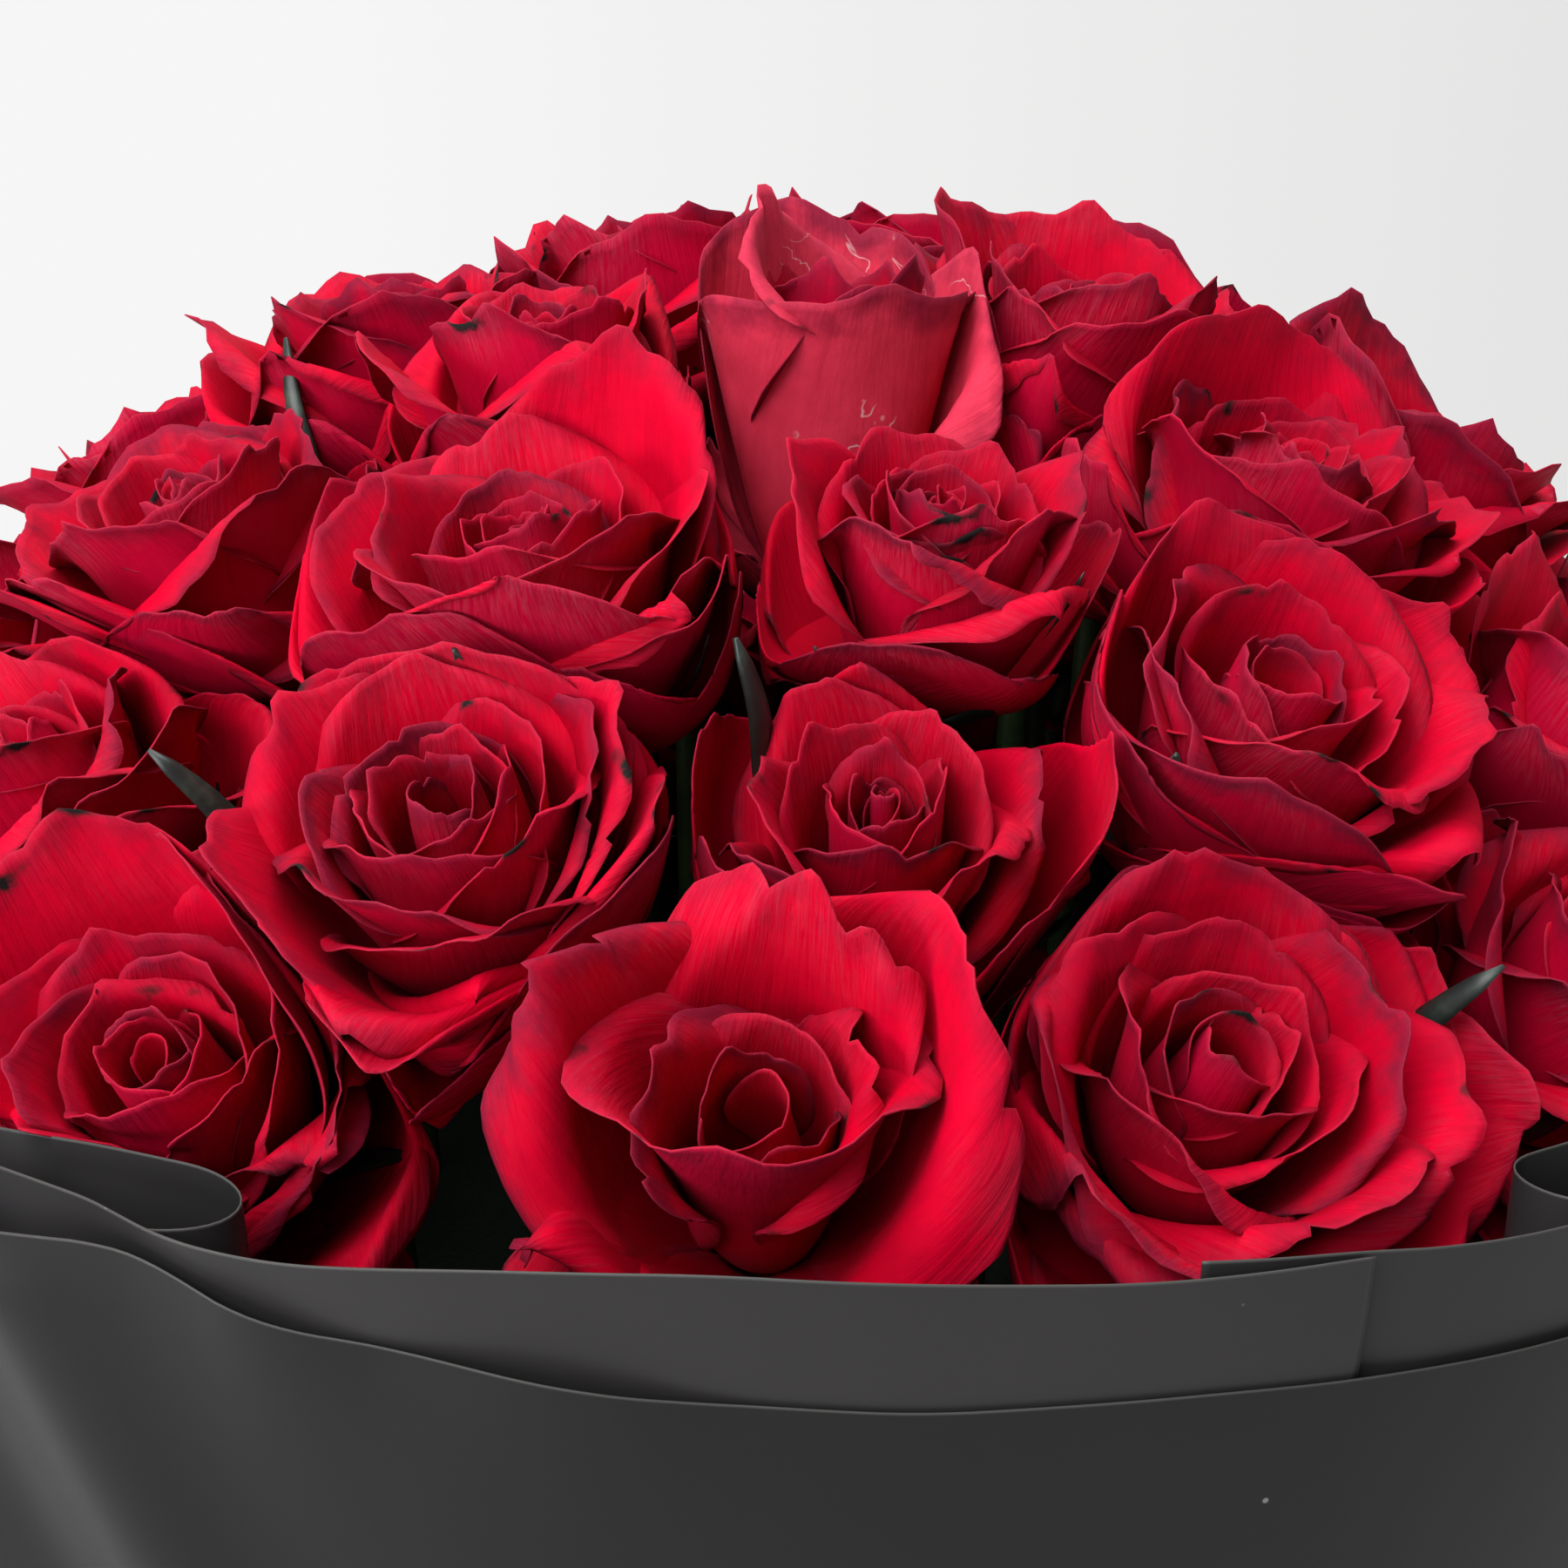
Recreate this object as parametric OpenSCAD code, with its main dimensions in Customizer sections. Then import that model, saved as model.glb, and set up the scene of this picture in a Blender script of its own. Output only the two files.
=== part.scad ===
// Round flower box: a film-wrapped card box with a lift-out insert of
// lined foam that holds a low dome of roses. Millimetres, +Z up.
// Origin: centre of the box's foot, on the surface it stands on.
// Azimuth 0 is the front (-Y); it grows towards +X.

/* [Box] */
// Outer radius of the card tube
box_r = 225; // [222:0.5:228]
// Height of the card tube
box_h = 190; // [180:1:200]
// Thickness of the card
card_t = 2.5; // [2:0.1:3]

/* [Insert] */
// Running clearance between the liner and the box
insert_gap = 0.5; // [0.3:0.1:1]
// Thickness of the waterproof liner
liner_t = 1; // [0.8:0.1:1.5]
// Height of the liner's wall above its floor
liner_h = 160; // [150:1:170]
// Height of the foam block
foam_h = 130; // [120:1:140]

/* [Wrap] */
// Height of the inner film's top edge, the rim, above the ground
rim_z = 240; // [235:1:245]
// Outer radius of the inner film at the rim
rim_r = 262; // [260:1:266]
// Thickness of the film, as a solid wall
film_t = 0.8; // [0.6:0.1:1]
// How far the outer film's top edge stays below the rim
step_h = 19; // [15:1:24]
// Gap between the two layers of film
layer_gap = 0.5; // [0.4:0.1:1]
// Height up to which the wrap hugs the box
wrap_foot_h = 20; // [15:1:25]
// Azimuth of the front lap between the two inner sheets
lap_az = 17; // [0:1:40]

/* [Rose dome] */
// Radius of the dome that the flower faces lie on
dome_r = 258; // [256:0.5:260]
// Height of that dome above its own centre
dome_h = 278; // [276:0.5:280]
// How far the dome's centre lies below the rim
dome_drop = 130; // [128:1:132]
// Length of a flower head, from its calyx to its face
head_h = 50; // [48:0.5:51]
// Length of a calyx
calyx_h = 12; // [10:0.5:13]
// Diameter of a stem
stem_d = 6; // [5:0.5:6.5]
// How far a stem is pushed into the foam
stem_depth = 60; // [40:1:80]

/* [Hidden] */
$fn = 48;

// Flowers in each ring, as [azimuth, arc down from the crown, radius].
// The front ones stand where they were arranged; the others are evenly spaced.
function evenly(start, step, count, arc, radius) =
    [for (i = [0 : count - 1]) [start + step * i, arc, radius]];

outer_ring = concat(
    [[-27, 60, 29], [-1, 60, 29], [18, 59, 29], [41, 59, 29]],
    evenly(64, 24, 11, 59, 29));
second_ring = concat(
    [[-43, 51, 26.5], [-16, 50, 27], [6, 48, 23], [27, 46, 28], [52, 49, 28]],
    evenly(76, 24, 10, 49, 28));
third_ring = concat(
    [[-47, 37, 26], [-16, 38, 25], [10, 37, 22], [40, 35, 27]],
    evenly(74, 34, 7, 35, 27));
fourth_ring = concat(
    [[-60, 22, 27], [-26, 24, 24], [6, 21.5, 25], [41, 21, 27]],
    evenly(98, 51, 4, 21, 27));
crown = [[-65, 7, 27], [115, 7, 27]];

// Rings as [flowers, lean from the vertical, radius where stems enter the foam]
rings = [
    [outer_ring, 44, 190],
    [second_ring, 38, 150],
    [third_ring, 26, 110],
    [fourth_ring, 14, 66],
    [crown, 5, 24]
];

// Every flower as [azimuth, arc, radius, lean, stem foot radius]
flowers = [for (ring = rings) for (f = ring[0]) [f[0], f[1], f[2], ring[1], ring[2]]];

function rose_name(i) = str("rose_", i < 9 ? "0" : "", i + 1);
function on_ring(radius, azimuth, z) = [radius * sin(azimuth), -radius * cos(azimuth), z];

// Centre of a flower's open face
function face_of(f) =
    on_ring(dome_r * sin(f[1]), f[0], rim_z - dome_drop + dome_h * cos(f[1]));

// Direction that a flower faces
function facing(f) = on_ring(sin(f[3]), f[0], cos(f[3]));

// Foot of the calyx, where the stem begins
function calyx_foot(f) = face_of(f) - (head_h + calyx_h) * facing(f);

floor_gap = 0.3;                                // between the insert and the base
liner_r = box_r - card_t - insert_gap;
liner_z = card_t + floor_gap;
foam_r = liner_r - liner_t - 0.5;
foam_z = liner_z + liner_t;
foam_top = foam_z + foam_h;
calyx_top_r = 7;
calyx_foot_r = 3.2;
wrap_foot_r = box_r + 0.3;
wrap_foot_z = 1.5;
sheet_end_arc = 0.15;                           // left free at each end of a sheet

// Moves a shape drawn up the Z axis to a flower's place, its top at the face
module at_flower(f, below_face) {
    translate(face_of(f))
        rotate([0, 0, f[0]])
            rotate([f[3], 0, 0])
                translate([0, 0, -below_face])
                    children();
}

// A round bar from one point to another
module bar(from, to, diameter) {
    run = to - from;
    translate(from)
        rotate([0, acos(run[2] / norm(run)), atan2(run[1], run[0])])
            cylinder(h = norm(run), d = diameter);
}

module box_wall() {
    color("#26262a")
        difference() {
            translate([0, 0, card_t]) cylinder(h = box_h - card_t, r = box_r);
            cylinder(h = box_h + 1, r = box_r - card_t);
        }
}

module box_base() {
    color("#2c2c30") cylinder(h = card_t, r = box_r);
}

module liner() {
    color("#8fa39a")
        difference() {
            translate([0, 0, liner_z]) cylinder(h = liner_h, r = liner_r);
            translate([0, 0, liner_z + liner_t]) cylinder(h = liner_h, r = liner_r - liner_t);
        }
}

module foam_block() {
    color("#2f5a34") translate([0, 0, foam_z]) cylinder(h = foam_h, r = foam_r);
}

// Straight stems, each pushed through the top of the foam
module stems() {
    color("#3d5c2c")
        for (f = flowers) {
            top = calyx_foot(f);
            entry = on_ring(f[4], f[0], foam_top);
            along = (entry - top) / norm(entry - top);
            bar(top, entry + stem_depth * along, stem_d);
        }
}

module calyxes() {
    color("#28401f")
        for (f = flowers)
            at_flower(f, head_h + calyx_h)
                cylinder(h = calyx_h, r1 = calyx_foot_r, r2 = calyx_top_r);
}

// A closed egg-shaped head that stands in for the flower's petals
module rose_head(radius) {
    outline = [for (a = [15 : 15 : 150])
        [radius * sin(a), (head_h + 5.4) * pow((1 - cos(a)) / 2, 0.75)]];
    rotate_extrude()
        polygon(concat([[0, 0], [calyx_top_r, 0]],
            [for (p = outline) if (p[1] > 3 && p[1] < head_h - 1) p],
            [[radius * 0.5, head_h], [0, head_h]]));
}

module rose(i) {
    color("#b3122a") at_flower(flowers[i], head_h) rose_head(flowers[i][2]);
}

// One sheet of the flared wrap: it hugs the box's foot and leans out to its free top edge
module wrap_sheet(start_az, arc, offset, top_z) {
    flare = (rim_r - film_t - wrap_foot_r) / (rim_z - wrap_foot_h);
    foot_r = wrap_foot_r + offset;
    top_r = foot_r + flare * (top_z - wrap_foot_h);
    color("#3a3a3d")
        rotate([0, 0, start_az - 90 + sheet_end_arc])
            rotate_extrude(angle = arc - 2 * sheet_end_arc)
                polygon([
                    [foot_r, wrap_foot_z],
                    [foot_r, wrap_foot_h],
                    [top_r, top_z],
                    [top_r + film_t, top_z],
                    [foot_r + film_t, wrap_foot_h],
                    [foot_r + film_t, wrap_foot_z]
                ]);
}

box_wall();
box_base();
wrap_sheet(lap_az + 180, 180, 0, rim_z);  // wrap_sheet_left
wrap_sheet(lap_az, 180, 0, rim_z);  // wrap_sheet_right
wrap_sheet(180, 360, film_t + layer_gap, rim_z - step_h);  // wrap_sheet_outer
liner();
foam_block();
stems();
calyxes();
for (i = [0 : len(flowers) - 1])
    rose(i);
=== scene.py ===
"""A round flower box: a dome of open red roses in a box wrapped in charcoal floral film.

Everything is in metres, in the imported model's own frame: +Z up, the front towards -Y.
Azimuths are in degrees from the front, growing towards +X.
"""

import math

import bpy
import numpy as np
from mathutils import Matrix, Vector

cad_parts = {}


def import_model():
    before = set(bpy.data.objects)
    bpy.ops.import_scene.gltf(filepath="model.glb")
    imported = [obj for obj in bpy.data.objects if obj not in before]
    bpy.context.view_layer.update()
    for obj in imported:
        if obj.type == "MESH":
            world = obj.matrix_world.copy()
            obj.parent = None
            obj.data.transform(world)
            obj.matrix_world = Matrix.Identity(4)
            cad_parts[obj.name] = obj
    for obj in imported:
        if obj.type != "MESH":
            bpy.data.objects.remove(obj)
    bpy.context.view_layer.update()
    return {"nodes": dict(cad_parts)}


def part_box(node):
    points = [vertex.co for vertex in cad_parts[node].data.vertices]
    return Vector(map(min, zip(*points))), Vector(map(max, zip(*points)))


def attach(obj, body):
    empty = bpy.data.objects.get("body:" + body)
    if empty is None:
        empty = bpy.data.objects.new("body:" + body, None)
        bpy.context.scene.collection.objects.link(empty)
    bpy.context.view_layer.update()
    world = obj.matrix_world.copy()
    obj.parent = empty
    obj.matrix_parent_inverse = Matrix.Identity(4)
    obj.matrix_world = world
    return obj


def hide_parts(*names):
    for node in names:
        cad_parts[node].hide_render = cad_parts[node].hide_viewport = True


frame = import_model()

MM = 0.001

# ---------------------------------------------------------------- places taken from the frame
WRAP_LOW, WRAP_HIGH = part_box("wrap_sheet_left")
CAD_FILM_HALF = 0.4 * MM
BOX_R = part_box("box_base")[1].x
RIM_Z = WRAP_HIGH.z
RIM_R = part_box("wrap_sheet_right")[1].x - CAD_FILM_HALF
WRAP_FOOT_Z = WRAP_LOW.z
WRAP_HUG_Z = 20 * MM     # up to here the wrap hugs the box

# Rings of flowers: how many, and how far they lean from the vertical
RINGS = [(15, 44), (15, 38), (11, 26), (8, 14), (2, 5)]
HEAD = 50 * MM           # height of a CAD head along the way it faces
CORE_DEPTH = 14 * MM     # how far below its face a flower is widest
NEAR = 120 * MM          # flowers whose cores are closer than this press on each other

# Half thicknesses of the thin pieces
PETAL_HALF = 0.14 * MM
CALYX_HALF = 0.3 * MM
SEPAL_HALF = 0.22 * MM
TIP_HALF = 0.5 * MM
FILM_HALF = 0.12 * MM

# Columns and rows of a petal's mesh, in the front half and elsewhere
FRONT_GRID = (37, 27)
BACK_GRID = (21, 15)
FRONT_Y = -60 * MM

# Settings of the flowers that stand out at the front, by number: the seed and number of petals, how
# far it is open (spread), its size, the depth of its cup and how much lower it sits in mm, the turn of
# its face to the side in degrees, the share of the layers left out at the heart and a gap in them, how
# many guard and hanging petals it has, and how bleached its outer petals are
OWN = {
    1: dict(seed=11, petals=20, spread=0.95, size=1.12, turn=12),
    2: dict(seed=2, petals=17, spread=1.10, size=1.10, heart=0.12, gap=(0.36, 1.1), guards=0),
    3: dict(seed=33, petals=20, spread=1.05, size=1.10, heart=0.07, turn=-6, guards=3),
    17: dict(seed=4, petals=24, spread=1.08, size=1.12, heart=0.08, turn=4),
    18: dict(seed=15, petals=15, spread=0.94, size=0.82, guards=0, turn=-9, low=11),
    19: dict(seed=6, petals=19, spread=1.02, size=1.16, heart=0.10, turn=-6, guards=4),
    31: dict(seed=12, petals=18, spread=0.96, size=1.08),
    32: dict(seed=27, petals=18, spread=0.95, size=1.12, guards=4),
    33: dict(seed=8, petals=18, spread=0.86, size=0.84, guards=1, deep=44),
    34: dict(seed=21, petals=18, spread=0.95, size=1.10),
    43: dict(seed=31, petals=16, spread=0.90, size=1.0),
    44: dict(seed=5, petals=16, spread=0.70, size=1.15, deep=66, gap=(0.6, 1.1), bleach=1.0, guards=0,
             hangs=0),
    45: dict(seed=145, petals=18, spread=1.0, size=1.12, guards=4),
}

# Kinds of single guard petals: steepness in degrees at the root, the lower and the upper third
# and the tip, and how strongly the sides roll back
KINDS = {
    "wall": ((70, 88, 84, 76), 0.45),
    "back": ((50, 68, 76, 70), 0.35),
    "side": ((46, 66, 78, 60), 1.4),
    "tall": ((48, 70, 84, 74), 1.5),
    "tongue": ((58, 78, 86, 80), 0.5),
    "broad": ((56, 82, 84, 60), 1.2),
    "lip": ((40, 60, 68, 42), 1.6),
    "wide": ((14, 40, 46, 26), 0.7),
    "hang": ((28, 16, 6, -12), 0.7),
}

# Single petals that stand out, by flower: direction in the flower's own frame (0 to the right,
# 90 to the back, -90 to the front), kind, width and length
SINGLE = {
    1: [(125, "back", 1.1, 1.2), (62, "back", 1.1, 1.1), (-20, "lip", 1.0, 0.95)],
    2: [(160, "tall", 0.92, 1.22), (20, "tall", 1.1, 1.32), (70, "tongue", 0.80, 1.30),
        (-84, "wall", 1.45, 1.10), (170, "wall", 0.62, 0.95), (8, "wall", 0.6, 0.98),
        (-148, "lip", 0.8, 0.92), (-30, "lip", 0.8, 0.92), (-100, "lip", 0.7, 0.8)],
    3: [(-138, "lip", 1.1, 1.02), (85, "back", 1.05, 0.96), (-18, "wide", 1.15, 1.05),
        (30, "wide", 1.0, 1.0)],
    17: [(95, "back", 1.05, 1.0), (35, "back", 1.0, 1.0), (-70, "lip", 0.9, 0.95)],
    18: [(172, "wide", 1.35, 1.35), (5, "wide", 1.35, 1.4), (-145, "wide", 1.3, 1.3),
         (95, "lip", 1.1, 1.1), (-40, "wide", 1.2, 1.25)],
    19: [(150, "lip", 1.1, 1.05), (95, "back", 1.1, 1.05), (-60, "lip", 1.0, 0.95)],
    32: [(70, "back", 1.0, 1.15), (165, "wide", 1.0, 1.05), (-30, "lip", 0.9, 0.9),
         (12, "hang", 1.1, 1.0)],
    33: [(-90, "wall", 1.25, 0.86), (180, "wall", 1.0, 0.86), (0, "wide", 1.05, 1.0),
         (165, "hang", 1.1, 1.0)],
    34: [(80, "back", 1.15, 1.15), (160, "wide", 1.0, 1.0)],
    35: [(60, "back", 1.1, 1.25), (120, "back", 1.1, 1.2)],
    44: [(-80, "broad", 1.8, 0.88), (165, "wall", 0.9, 1.0), (10, "side", 1.0, 1.0),
         (95, "back", 1.1, 1.0), (60, "hang", 1.0, 1.0), (150, "hang", 1.0, 1.0),
         (-165, "hang", 0.9, 0.9), (-8, "hang", 0.9, 0.9)],
    45: [(110, "back", 1.15, 1.08), (50, "back", 1.1, 1.1), (-20, "lip", 1.0, 1.0)],
    46: [(60, "back", 1.1, 1.2), (120, "back", 1.1, 1.1)],
}

# Long sepals whose tips show between the heads: the flower, a neighbour, how far towards it the
# tip stands, and how high the tip rises above the line between the two faces
SEPAL_TIPS = [(18, 32, 0.36, 5), (17, 16, 0.5, 3), (3, 4, 0.42, 8), (19, 2, 0.26, 6), (32, 17, 0.5, 3),
              (31, 42, 0.5, 6), (44, 50, 0.3, 9)]


def aim(azimuth, tilt):
    """Unit vector that leans from +Z by the tilt, towards the azimuth."""
    across = math.sin(tilt)
    return np.array([across * math.sin(azimuth), -across * math.cos(azimuth), math.cos(tilt)])


def hanging_petals(lean):
    """The flatter the ring, the more hanging petals close the view in under its flowers."""
    if lean < 20:
        return 6
    return 4 if lean < 30 else 2


def flowers():
    """Each rose's number, face centre, place and axes, from the CAD heads and the ring leans."""
    number = 0
    out = []
    for count, lean in RINGS:
        for _ in range(count):
            number += 1
            low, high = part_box(f"rose_{number:02d}")
            middle = (np.array(low) + np.array(high)) / 2
            azimuth = math.atan2(middle[0], -middle[1])
            tilt = math.radians(lean)
            facing = aim(azimuth, tilt)
            rng = np.random.default_rng(400 + number)
            own = dict(seed=100 + number, petals=17 + number * 7 % 5,
                       spread=0.92 + 0.03 * (number * 5 % 6), size=rng.uniform(1.06, 1.15), heart=0.0,
                       turn=rng.uniform(-7, 7), tip=rng.uniform(-5, 5), gap=(2, 2), guards=5,
                       hangs=hanging_petals(lean), bleach=0.0, deep=49, low=0)
            if number in OWN:
                own.update(tip=0, turn=0)
                own.update(OWN[number])
            face = middle + facing * (HEAD / 2 - own["low"] * MM)
            turned = aim(azimuth + math.radians(own["turn"]), tilt + math.radians(own["tip"]))
            out.append(dict(
                number=number, own=own, middle=middle, face=face, facing=facing,
                root=face - facing * own["deep"] * MM, core=face - facing * CORE_DEPTH,
                axes=axes_along(turned), stem_axes=axes_along(facing),
                weight=max(high.x - low.x, high.y - low.y) / 2))
    for flower in out:
        flower["others"] = [f for f in out
                            if f is not flower and np.linalg.norm(f["core"] - flower["core"]) < NEAR]
    return out


# ---------------------------------------------------------------- materials
def new_material(name, roughness=0.5, metallic=0.0):
    material = bpy.data.materials.new(name)
    material.use_nodes = True
    shader = material.node_tree.nodes["Principled BSDF"]
    shader.inputs["Roughness"].default_value = roughness
    shader.inputs["Metallic"].default_value = metallic
    return material, material.node_tree, shader


def node_of(tree, kind, **values):
    """A new node with some of its settings or input values set."""
    node = tree.nodes.new(kind)
    for key, value in values.items():
        if hasattr(node, key):
            setattr(node, key, value)
        else:
            node.inputs[key].default_value = value
    return node


def attribute(tree, name):
    node = tree.nodes.new("ShaderNodeAttribute")
    node.attribute_name = name
    return node


def ramp(tree, source, stops):
    node = tree.nodes.new("ShaderNodeValToRGB")
    while len(node.color_ramp.elements) < len(stops):
        node.color_ramp.elements.new(0.5)
    for element, (place, colour) in zip(node.color_ramp.elements, stops):
        element.position = place
        element.color = (*colour, 1)
    tree.links.new(source, node.inputs["Fac"])
    return node.outputs["Color"]


def mixed(tree, factor, first, second):
    """A blend of two colours, each a socket or three numbers."""
    node = tree.nodes.new("ShaderNodeMix")
    node.data_type = "RGBA"
    for socket, value in ((0, factor), (6, first), (7, second)):
        if hasattr(value, "links"):
            tree.links.new(value, node.inputs[socket])
        elif socket == 0:
            node.inputs[0].default_value = value
        else:
            node.inputs[socket].default_value = (*value, 1)
    return node.outputs[2]


def maths(tree, operation, first, second=0.0, clamp=False):
    node = tree.nodes.new("ShaderNodeMath")
    node.operation = operation
    node.use_clamp = clamp
    for i, value in enumerate((first, second)):
        if hasattr(value, "links"):
            tree.links.new(value, node.inputs[i])
        else:
            node.inputs[i].default_value = value
    return node.outputs[0]


def times(tree, first, second, clamp=False):
    return maths(tree, "MULTIPLY", first, second, clamp)


def stretch(tree, low, high, source):
    """The source stretched so that low becomes 0 and high becomes 1, and held between them."""
    node = tree.nodes.new("ShaderNodeMapRange")
    node.inputs["From Min"].default_value = low
    node.inputs["From Max"].default_value = high
    tree.links.new(source, node.inputs["Value"])
    return node.outputs["Result"]


def noise_over(tree, place, **values):
    """Noise read at the given coordinates, about 0.5 on average."""
    noise = node_of(tree, "ShaderNodeTexNoise", **values)
    tree.links.new(place, noise.inputs["Vector"])
    return noise.outputs["Fac"]


def scaled(tree, place, factors):
    """Coordinates multiplied by three factors."""
    mapping = node_of(tree, "ShaderNodeMapping")
    mapping.inputs["Scale"].default_value = factors
    tree.links.new(place, mapping.inputs["Vector"])
    return mapping.outputs["Vector"]


def add_bump(tree, shader, height, strength, distance):
    bump = node_of(tree, "ShaderNodeBump", Strength=strength, Distance=distance)
    tree.links.new(height, bump.inputs["Height"])
    tree.links.new(bump.outputs["Normal"], shader.inputs["Normal"])


def petal_material():
    """Velvety crimson inside, paler and smoother outside, with dull margins and fine veins, painted shade
    towards the roots, painted sheen at the margins and a painted highlight along the edges.
    """
    material, tree, shader = new_material("petal_velvet", 0.6)
    side = attribute(tree, "side").outputs["Fac"]
    edge = attribute(tree, "edge").outputs["Fac"]
    along = attribute(tree, "along").outputs["Fac"]
    tone = attribute(tree, "tone").outputs["Fac"]
    bleach = attribute(tree, "bleach").outputs["Fac"]
    flat = attribute(tree, "flat").outputs["Vector"]
    place = node_of(tree, "ShaderNodeTexCoord").outputs["Object"]

    mottle = noise_over(tree, place, Scale=140.0, Detail=5.0, Roughness=0.62)
    mottle_wide = noise_over(tree, place, Scale=30.0, Detail=2.0)
    veins = noise_over(tree, scaled(tree, flat, (24.0, 3.0, 1.0)), Scale=1.0, Detail=4.0, Roughness=0.6)
    crepe = noise_over(tree, place, Scale=620.0, Detail=3.0, Roughness=0.6)

    # both faces darken towards each petal's root, deep in the flower where shade falls: painted shade
    inner = ramp(tree, along, [(0.0, (0.20, 0.0, 0.004)), (0.55, (0.46, 0.0, 0.014)),
                               (0.9, (0.53, 0.0, 0.019))])
    outer = ramp(tree, along, [(0.0, (0.30, 0.02, 0.03)), (0.25, (0.38, 0.001, 0.020)),
                               (0.9, (0.46, 0.002, 0.032))])
    colour = mixed(tree, side, inner, outer)
    colour = mixed(tree, bleach, colour, (0.66, 0.040, 0.085))
    colour = mixed(tree, times(tree, stretch(tree, 0.3, 0.72, mottle), 0.30), colour, (0.22, 0.0, 0.012))
    colour = mixed(tree, times(tree, stretch(tree, 0.45, 0.75, veins), 0.24), colour, (0.26, 0.0, 0.014))
    colour = mixed(tree, times(tree, tone, 0.35), colour, (0.30, 0.0, 0.010))
    # pale, finely streaked frosting towards the margins, strongest on the petals' backs: partly the petals'
    # own frosting and partly painted grazing sheen
    streaks = noise_over(tree, scaled(tree, flat, (60.0, 7.0, 1.0)), Scale=1.0, Detail=5.0,
                         Roughness=0.7, Distortion=0.6)
    patch = times(tree, stretch(tree, 0.45, 0.62, mottle_wide), stretch(tree, 0.66, 0.96, edge), clamp=True)
    bloom_and_sheen = times(tree, patch, stretch(tree, 0.42, 0.66, streaks), clamp=True)
    on_back = maths(tree, "ADD", 0.32, times(tree, side, 0.38))
    colour = mixed(tree, times(tree, bloom_and_sheen, on_back), colour, (0.40, 0.055, 0.09))
    # fine whitish scratches on bleached petals
    scratches = noise_over(tree, place, Scale=55.0, Detail=3.0, Distortion=1.2)
    line = maths(tree, "ABSOLUTE", maths(tree, "SUBTRACT", scratches, 0.5))
    line = maths(tree, "SUBTRACT", 1.0, stretch(tree, 0.0, 0.010, line), clamp=True)
    line = times(tree, line, stretch(tree, 0.56, 0.60, mottle_wide), clamp=True)
    colour = mixed(tree, times(tree, line, bleach), colour, (0.66, 0.36, 0.38))
    # dull purplish margins, broken up, a hair-thin painted highlight along the very edge, and a few nearly
    # black nicks
    ragged = maths(tree, "ADD", edge, times(tree, maths(tree, "SUBTRACT", mottle, 0.5), 0.26))
    margin = times(tree, stretch(tree, 0.87, 1.02, ragged), maths(tree, "ADD", 0.5, tone), clamp=True)
    colour = mixed(tree, times(tree, margin, 0.8), colour, (0.13, 0.008, 0.026))
    rim_highlight = times(tree, stretch(tree, 0.994, 0.999, edge), 0.2)
    colour = mixed(tree, rim_highlight, colour, (0.40, 0.03, 0.05))
    spots = noise_over(tree, place, Scale=75.0, Detail=2.0)
    nick = times(tree, stretch(tree, 0.64, 0.70, spots), stretch(tree, 0.955, 0.99, ragged), clamp=True)
    colour = mixed(tree, nick, colour, (0.012, 0.010, 0.010))
    tree.links.new(colour, shader.inputs["Base Color"])

    rough = maths(tree, "ADD", times(tree, mottle, 0.2),
                  maths(tree, "SUBTRACT", 0.56, times(tree, side, 0.14)))
    tree.links.new(rough, shader.inputs["Roughness"])
    shader.inputs["Specular IOR Level"].default_value = 0.035
    shader.inputs["Sheen Weight"].default_value = 0.012
    shader.inputs["Sheen Roughness"].default_value = 0.35
    shader.inputs["Sheen Tint"].default_value = (1.0, 0.25, 0.4, 1)

    height = maths(tree, "ADD", veins, times(tree, crepe, 0.22))
    height = maths(tree, "ADD", height, times(tree, mottle, 0.5))
    add_bump(tree, shader, height, 0.7, 0.00045)
    return material


def sepal_material():
    """Nearly black green with paler flecks."""
    material, tree, shader = new_material("sepal_green", 0.45)
    place = node_of(tree, "ShaderNodeTexCoord").outputs["Object"]
    noise = noise_over(tree, place, Scale=160.0, Detail=4.0)
    colour = ramp(tree, noise, [(0.3, (0.005, 0.008, 0.008)), (0.55, (0.011, 0.018, 0.015)),
                                (0.8, (0.05, 0.065, 0.05))])
    tree.links.new(colour, shader.inputs["Base Color"])
    add_bump(tree, shader, noise, 0.5, 0.0003)
    return material


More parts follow.
